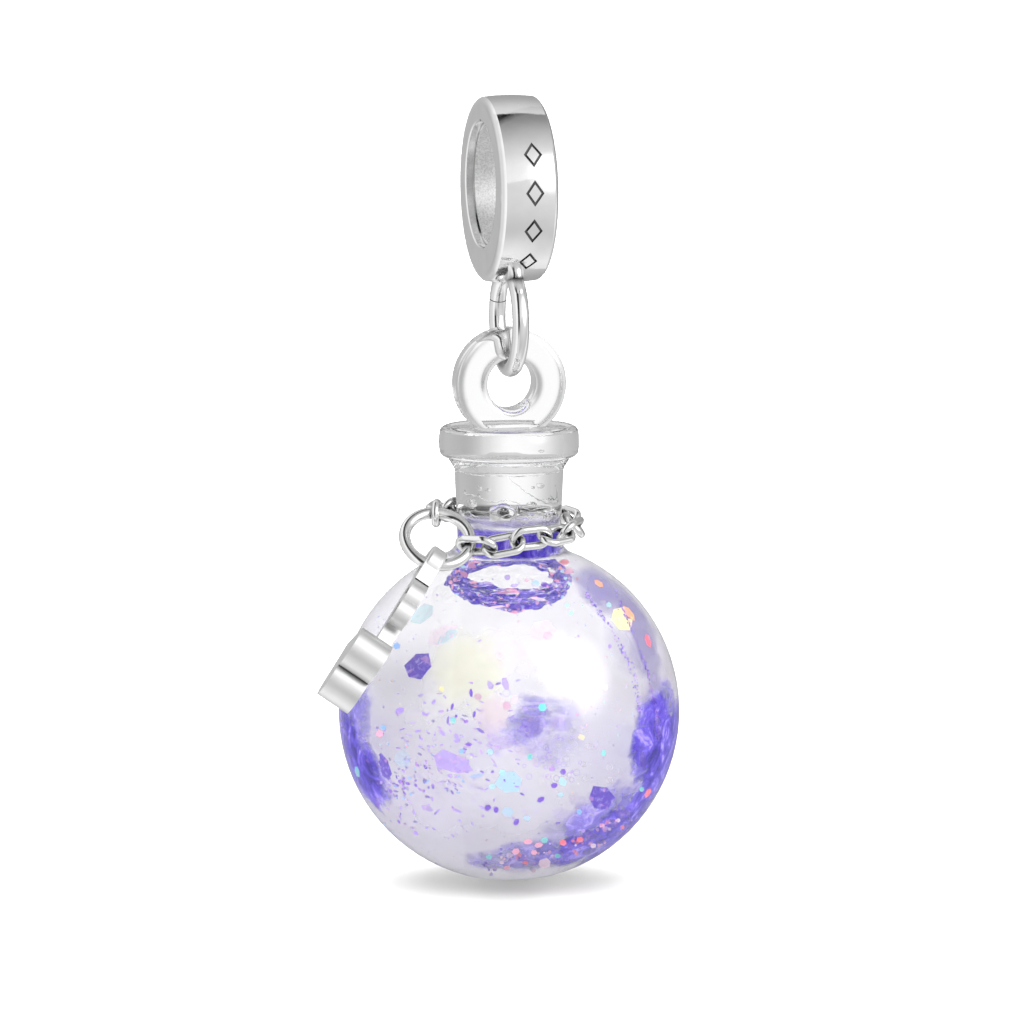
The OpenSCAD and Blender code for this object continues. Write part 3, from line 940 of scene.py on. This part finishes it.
# Cracks in the plug: places in the photo, and the distance from the axis
CRACKS = [
    ([(508, 475), (514, 481), (521, 485), (528, 491), (535, 495), (541, 499), (549, 498), (556, 500)], 1.35),
    ([(531, 492), (538, 497), (545, 501), (553, 502)], 1.25),
    ([(553, 484), (556, 490), (555, 497), (559, 503)], 1.30),
    ([(548, 494), (551, 498), (556, 496), (558, 500)], 1.15),
    ([(468, 492), (477, 495), (486, 500), (496, 501), (506, 499), (517, 501), (527, 507), (540, 510)], 1.30),
    ([(470, 504), (478, 509), (486, 514), (494, 520)], 1.20),
]
# The round glass shows these wider than they are, so their places are drawn in by these shares
BUBBLE_SHRINK = 0.8
CRACK_SHRINK = 0.78
CRACK_SIDES = 5
CRACK_STEPS = 5  # from each place to the next
# Half thickness of the thin lines, and how much it varies, in mm
SEAM_WIRE = (0.026, 0.012)
CRACK_WIRE = (0.022, 0.014)
# Further bubbles at the sides and back: how many, and the heights that they lie between
MORE_BUBBLES = 9
MORE_BUBBLES_Z = (-14.2, -12.6)
BUBBLE_INDEX = 0.84  # light bends less in air than in glass


def seam_material():
    mat, t = new_material("joint_glass")
    p = place(t)
    tone = ramp(t, noise(t, p, 2.5, 3), (0.35, grey(0.45)), (0.65, grey(0.92)))
    alpha = step(t, noise(t, p, 1.7, 3), 0.35, 0.6, 0.15, 0.85)
    finish_material(t, principled(t, Base_Color=tone, Roughness=0.2, Alpha=alpha))
    return mat


def wavy_wire(radius, height, wave, seed):
    """The profile of a thin wire round the axis that wavers up and down."""
    def profile(turn):
        x, y = math.cos(turn), math.sin(turn)
        sway = wave * noise_3d((2.2 * x + seed, 2.2 * y, seed)) * 2
        wire = SEAM_WIRE[0] + SEAM_WIRE[1] * noise_3d((4 * x, 4 * y + seed, 0))
        return [(radius + wire * math.cos(a), height + sway + wire * math.sin(a))
                for a in (math.pi / 3 * i for i in range(6))]
    return profile


def joint_lines():
    material = seam_material()
    for name, *wire in JOINT_LINES:
        new_piece(name, ring_mesh(wavy_wire(*wire)), material)


def in_neck(x, y, radius, shrink):
    """The point, in mm, that the camera sees at a place of the photo on a cylinder inside the neck."""
    across = ((x - ORIGIN_AT[0]) * shrink) * PIXEL
    toward = math.sqrt(max(radius ** 2 - across ** 2, 0))
    z = ((ORIGIN_AT[1] - y) * PIXEL + toward * math.sin(ELEVATION)) / math.cos(ELEVATION)
    return RIGHT * across + LEVEL_BACK * toward + Vector((0, 0, z))


def bubble_material():
    mat, t = new_material("air_in_glass")
    p = place(t)
    rough = step(t, noise(t, p, 4, 2), 0.4, 0.7, 0.0, 0.06)
    tint = ramp(t, noise(t, p, 1.5, 2), (0.3, grey(0.90)), (0.7, grey(1.0)))
    body = principled(t, Base_Color=tint, Roughness=rough, IOR=BUBBLE_INDEX, Transmission_Weight=1.0,
                      Normal=bump(t, noise(t, p, 3, 3), 0.15))
    finish_material(t, mix_shader(t, soft_ray(t, light_path(t)), body, see_through(t, CLEAR)))
    return mat


def add_bubble(bm, at, wide, high, rng):
    """An irregular bubble that is flattened towards the axis, with its size in pixels."""
    made = bmesh.ops.create_icosphere(bm, subdivisions=3, radius=1)
    shift = Vector([rng.uniform(-9, 9) for _ in range(3)])
    out = Vector((at.x, at.y, 0)).normalized()
    side = Vector((-out.y, out.x, 0))
    for v in made["verts"]:
        c = v.co.copy()
        wobble = 1 + 0.25 * noise_3d(c * 1.3 + shift)
        corner = (side * c.x * wide * PIXEL / 2 + Vector((0, 0, c.z)) * high * PIXEL / 2
                  + out * c.y * min(wide, high) * PIXEL / 3)
        v.co = (at + corner * wobble) * MM


def glass_bubbles():
    bm = bmesh.new()
    spots = [(in_neck(x, y, radius, BUBBLE_SHRINK), wide, high) for x, y, radius, wide, high in BUBBLES]
    rng = random.Random(3)
    for _ in range(MORE_BUBBLES):
        turn = rng.uniform(0, 3.2)
        r = rng.uniform(0.7, 1.2)
        at = Vector((r * math.cos(turn), r * math.sin(turn), rng.uniform(*MORE_BUBBLES_Z)))
        spots.append((at, rng.uniform(3, 9), rng.uniform(2, 7)))
    for at, wide, high in spots:
        add_bubble(bm, at, wide, high, rng)
    for face in bm.faces:
        face.smooth = True
    new_piece("glass_bubbles", bm, bubble_material())


def crack_path(places, radius):
    """The points along a crack, which wavers a little between its places."""
    path = [in_neck(x, y, radius, CRACK_SHRINK) for x, y in places]
    finer = []
    for k, (a, b) in enumerate(zip(path, path[1:])):
        for i in range(CRACK_STEPS):
            waver = 0.05 * Vector((0, 0, noise_3d((k * 1.7, i * 0.9, radius * 9))))
            finer.append(a.lerp(b, i / CRACK_STEPS) + waver)
    return finer + [path[-1]]


def plug_cracks():
    bm = bmesh.new()
    for places, radius in CRACKS:
        rows = []
        for k, at in enumerate(crack_path(places, radius)):
            out = Vector((at.x, at.y, 0)).normalized()
            wire = CRACK_WIRE[0] + CRACK_WIRE[1] * noise_3d((k * 0.8, radius * 5, 0))
            turns = (2 * math.pi * i / CRACK_SIDES for i in range(CRACK_SIDES))
            rows.append([bm.verts.new((at + wire * (out * math.cos(a) + Vector((0, 0, math.sin(a))))) * MM)
                         for a in turns])
        bridge(bm, rows, rows[1:])
        bm.faces.new(rows[0])
        bm.faces.new(list(reversed(rows[-1])))
    bmesh.ops.recalc_face_normals(bm, faces=bm.faces)
    new_piece("plug_cracks", bm, seam_material())


# Floor, light and camera

FLOOR_SIZE = 6  # in metres
FOOT_SHADOW_REACH = (0.3, 2.4)  # the painted shadow fades out from here to here beside the charm's foot, where the floor turns paler, in mm
FOOT_SHADOW_DEPTH = 0.22  # and this share as much in depth
# Tone of the painted shadow under the foot, and of the paler floor elsewhere
FOOT_SHADOW_TONE = 0.80
PALE_FLOOR_TONE = 0.975
WALL = 1.10  # brightness of the studio's walls
CEILING = 4.2
DEGREES = 180 / math.pi
GAP_ACROSS = Vector((0.862, -0.505, 0.045)).normalized()  # across the dark gap beside the camera
# What the silver mirrors in the plane across the bead's bore: angle up from the front, and tone
MIRRORED = [(-180, 0.50), (-150, 0.75), (-116, 1.05), (-106, 0.72), (-92, 0.60), (-70, 0.66), (-50, 0.75),
            (-35, 0.82), (-2, 0.86), (0, 1.12), (22, 1.08), (43, 0.88), (66, 0.70), (87, 0.52),
            (101, 0.39), (111.5, 0.36), (113, 0.74), (180, 0.50)]
# How that tone changes with the distance from an upright plane left of the camera
BESIDE = [(-1, 0.76), (-0.88, 0.76), (-0.80, 0.82), (-0.70, 0.98), (-0.50, 1.08), (-0.40, 1.05),
          (-0.34, 0.30), (-0.27, 0.04), (0.03, 0.04), (0.07, 0.40), (0.12, 0.70), (0.30, 0.80),
          (0.54, 0.88), (0.72, 0.96), (0.84, 1.0)]
# What is seen through the glass: angle to the right of the line of sight, and tone
BEHIND = [(-180, 0.50), (-90, 0.46), (-60, 0.52), (-45, 0.55), (-36, 0.60), (-30, 0.69), (-25, 0.80),
          (-20, 0.90), (-15, 0.97), (-11, 1.0), (-6, 1.02), (0, 1.02), (5, 0.95), (9, 0.85), (13, 0.72),
          (17, 0.58), (22, 0.48), (28, 0.44), (36, 0.46), (55, 0.50), (80, 0.44), (180, 0.50)]
# The lamps that show in glass and in silver: direction, reach in degrees, fall and strength
GLASS_LAMP = ((0.56, -0.69, 0.46), 34, 1.8, 8.5)
SILVER_LAMP = ((0.66, -0.68, 0.32), 32, 1.3, 1.8)
# Edges in those surroundings, where each tone starts and ends
CEILING_EDGE = (0.80, 0.93)  # height of the direction
OVERHEAD = (111.5, 113)  # degrees up from the front
LEAN = 42.0  # degrees that the white wall's edges climb towards the right
LEAN_CHANGE = -0.3  # and what is added to that with each degree up
AIM = (0, 0, -16)  # what the softboxes point at, in mm
FOCAL_LENGTH = 370
SENSOR = 36
PICTURE_WIDTH = 43.42  # mm of the object across the picture
PICTURE_MIDDLE = (0.127, -13.892, -1.5)  # mm from the origin to the right, up and towards the camera


def floor():
    bpy.ops.mesh.primitive_plane_add(size=FLOOR_SIZE, location=(0, 0, FLOOR_Z * MM))
    plane = bpy.context.object
    plane.name = "floor"
    mat, t = new_material("floor")
    p = place(t)
    colour = ramp(t, noise(t, p, 0.01, 2), (0.3, grey(FOOT_SHADOW_TONE - 0.01)), (0.7, grey(FOOT_SHADOW_TONE + 0.01)))
    # Painted shadow: the floor is darker under the charm's foot and paler beside it, which keeps the shadow
    # short
    aside = vector(t, "DOT_PRODUCT", p, RIGHT)
    depth = times(t, vector(t, "DOT_PRODUCT", p, LEVEL_BACK), FOOT_SHADOW_DEPTH)
    from_foot = vector(t, "LENGTH", put(t, "ShaderNodeCombineXYZ", {0: aside, 1: depth}).outputs[0])
    colour = mix_colour(t, step(t, from_foot, *FOOT_SHADOW_REACH), colour, grey(PALE_FLOOR_TONE))
    finish_material(t, put(t, "ShaderNodeBsdfDiffuse", {"Color": colour}).outputs[0])
    plane.data.materials.append(mat)
    # Metal and glass show the studio's walls in its place
    plane.visible_glossy = False
    plane.visible_transmission = False


def tones(t, value, table, low, high):
    """The tone that a table gives for a value between low and high."""
    stops = (((at - low) / (high - low), grey(tone)) for at, tone in table)
    return ramp(t, step_linear(t, value, low, high), *stops)


def lamp_glow(t, d, towards, reach, fall):
    """A large soft round lamp in that direction."""
    near = vector(t, "DOT_PRODUCT", d, Vector(towards).normalized())
    return maths(t, "POWER", step(t, near, math.cos(math.radians(reach)), 1.0), fall)


def mirrored_walls(t, d):
    """What silver mirrors: a white wall that turns grey overhead, with a dark gap beside the camera."""
    _, y, z = parts(t, d)
    climb = times(t, maths(t, "ARCTAN2", z, times(t, y, -1.0)), DEGREES)
    across = vector(t, "DOT_PRODUCT", d, GAP_ACROSS)
    # The wall's edges are higher on the right
    lean = maths(t, "MULTIPLY_ADD", maths(t, "MAXIMUM", climb, 0.0), LEAN_CHANGE, LEAN)
    climb = maths(t, "SUBTRACT", climb, times(t, maths(t, "SUBTRACT", across, 0.2), lean))
    front = tones(t, climb, MIRRORED, -180, 180)
    beside = tones(t, across, BESIDE, -1, 1)
    beside = maths(t, "MAXIMUM", beside, step(t, climb, 10, -25, 0, 0.76))
    beside = maths(t, "MAXIMUM", beside, step(t, climb, *OVERHEAD, 0, 0.78))
    ahead = times(t, step(t, climb, -80, -50), step(t, climb, *OVERHEAD, 1, 0))
    right = times(t, front, mix_value(t, ahead, 1.0, beside))
    near = times(t, step(t, across, 0.1, 0.6, 0.3, 0), step(t, climb, -50, -80))
    right = maths(t, "ADD", right, near)
    left = step(t, across, -0.002, 0.002, 1, 0)
    both = maths(t, "ADD", times(t, left, beside), times(t, maths(t, "SUBTRACT", 1.0, left), right))
    # It is darker behind the charm, so round edges are outlined in grey
    return times(t, both, step(t, vector(t, "DOT_PRODUCT", d, -BACK), 0.3, 0.95, 1.0, 0.5))


def mirrored_lamps(t, d, path, mirror):
    """Adds the lamps to what is mirrored. Only the glass is smooth enough to have singular rays."""
    *lamp, strength = GLASS_LAMP
    glow = times(t, lamp_glow(t, d, *lamp), step(t, path["Transmission Depth"], 0.4, 0.6, 1, 0.3))
    mirror = maths(t, "MULTIPLY_ADD", times(t, glow, path["Is Singular Ray"]), strength, mirror)
    *lamp, strength = SILVER_LAMP
    glow = times(t, lamp_glow(t, d, *lamp), maths(t, "SUBTRACT", 1.0, path["Is Singular Ray"]))
    return maths(t, "MULTIPLY_ADD", glow, strength, mirror)


def behind_glass(t, d):
    """What glass shows: a bright wall straight behind it and greyer walls at the sides."""
    off = maths(t, "ARCTAN2", vector(t, "DOT_PRODUCT", d, RIGHT), vector(t, "DOT_PRODUCT", d, -LEVEL_BACK))
    tone = tones(t, times(t, off, DEGREES), BEHIND, -180, 180)
    z = parts(t, d)[2]
    tone = mix_value(t, step(t, z, -0.22, -0.5), tone, 1.02)
    return mix_value(t, step(t, z, 0.0, 0.45), tone, 0.58)


def world():
    made = bpy.data.worlds.new("studio")
    bpy.context.scene.world = made
    made.use_nodes = True
    made.cycles.sampling_method = "NONE"
    t = made.node_tree
    t.nodes.clear()
    d = vector(t, "NORMALIZE", put(t, "ShaderNodeTexCoord").outputs["Generated"])
    path = light_path(t)
    # White walls and a bright ceiling light the floor and the glitter
    tone = step(t, parts(t, d)[2], *CEILING_EDGE, WALL, CEILING)
    tone = mix_value(t, path["Is Camera Ray"], tone, WALL)
    is_mirror = times(t, path["Is Glossy Ray"], maths(t, "SUBTRACT", 1.0, path["Is Transmission Ray"]))
    tone = mix_value(t, is_mirror, tone, mirrored_lamps(t, d, path, mirrored_walls(t, d)))
    tone = mix_value(t, path["Is Transmission Ray"], tone, behind_glass(t, d))
    back = put(t, "ShaderNodeBackground", {"Color": tone})
    put(t, "ShaderNodeOutputWorld", {"Surface": back.outputs[0]})


def area(name, where, size, power):
    """A softbox: its place and size in mm, and its power in watts."""
    light = bpy.data.lights.new(name, "AREA")
    light.shape = "RECTANGLE"
    light.size, light.size_y = (side * MM for side in size)
    light.energy = power
    lamp = bpy.data.objects.new(name, light)
    add(lamp)
    # The walls stand for them in the silver and the glass
    lamp.visible_glossy = False
    lamp.visible_transmission = False
    lamp.location = mm(*where)
    lamp.rotation_mode = "QUATERNION"
    lamp.rotation_quaternion = (mm(*AIM) - lamp.location).to_track_quat("-Z", "Y")


def camera():
    data = bpy.data.cameras.new("camera")
    data.lens = FOCAL_LENGTH
    data.sensor_width = SENSOR
    data.clip_start, data.clip_end = 0.01, 10
    cam = bpy.data.objects.new("camera", data)
    add(cam)
    right, up, nearer = PICTURE_MIDDLE
    distance = PICTURE_WIDTH * FOCAL_LENGTH / SENSOR
    cam.location = (RIGHT * right + UP * up + BACK * (distance + nearer)) * MM
    cam.rotation_mode = "QUATERNION"
    cam.rotation_quaternion = (-BACK).to_track_quat("-Z", "Y")
    bpy.context.scene.camera = cam


def render_look():
    """Plain colours, and long paths because glass lies in glass. Caustics would only add noise."""
    scene = bpy.context.scene
    scene.view_settings.view_transform = "Standard"
    scene.cycles.max_bounces = 24
    scene.cycles.transmission_bounces = 20
    scene.cycles.transparent_max_bounces = 32
    scene.cycles.glossy_bounces = 8
    scene.cycles.caustics_refractive = False
    scene.cycles.caustics_reflective = False


# The charm and its studio

dress("bail", silver("silver_bail", 0.89, 0.06, 0.12, bead=True))
small_silver = silver("silver", 0.87, 0.12, 0.18)
for name in nodes:
    if name.startswith("chain_link") or name == "charm_ring":
        dress(name, small_silver)
dress("music_note", silver("silver_note", 0.88, 0.36, 0.42))
dress("glass_stopper", glass("clear_glass", (0.985, 0.985, 0.99), wet_plug))
dress("glass_bottle", glass("bottle_glass", (0.985, 0.985, 0.995), wet_wall))
dress("glitter_filling", filling())
glitter_flakes()
glitter_collar()
joint_lines()
glass_bubbles()
plug_cracks()
floor()
world()
area("softbox_right", (90, 150, 290), (200, 200), 0.17)
area("softbox_left", (-90, 130, 290), (200, 200), 0.13)
camera()
render_look()
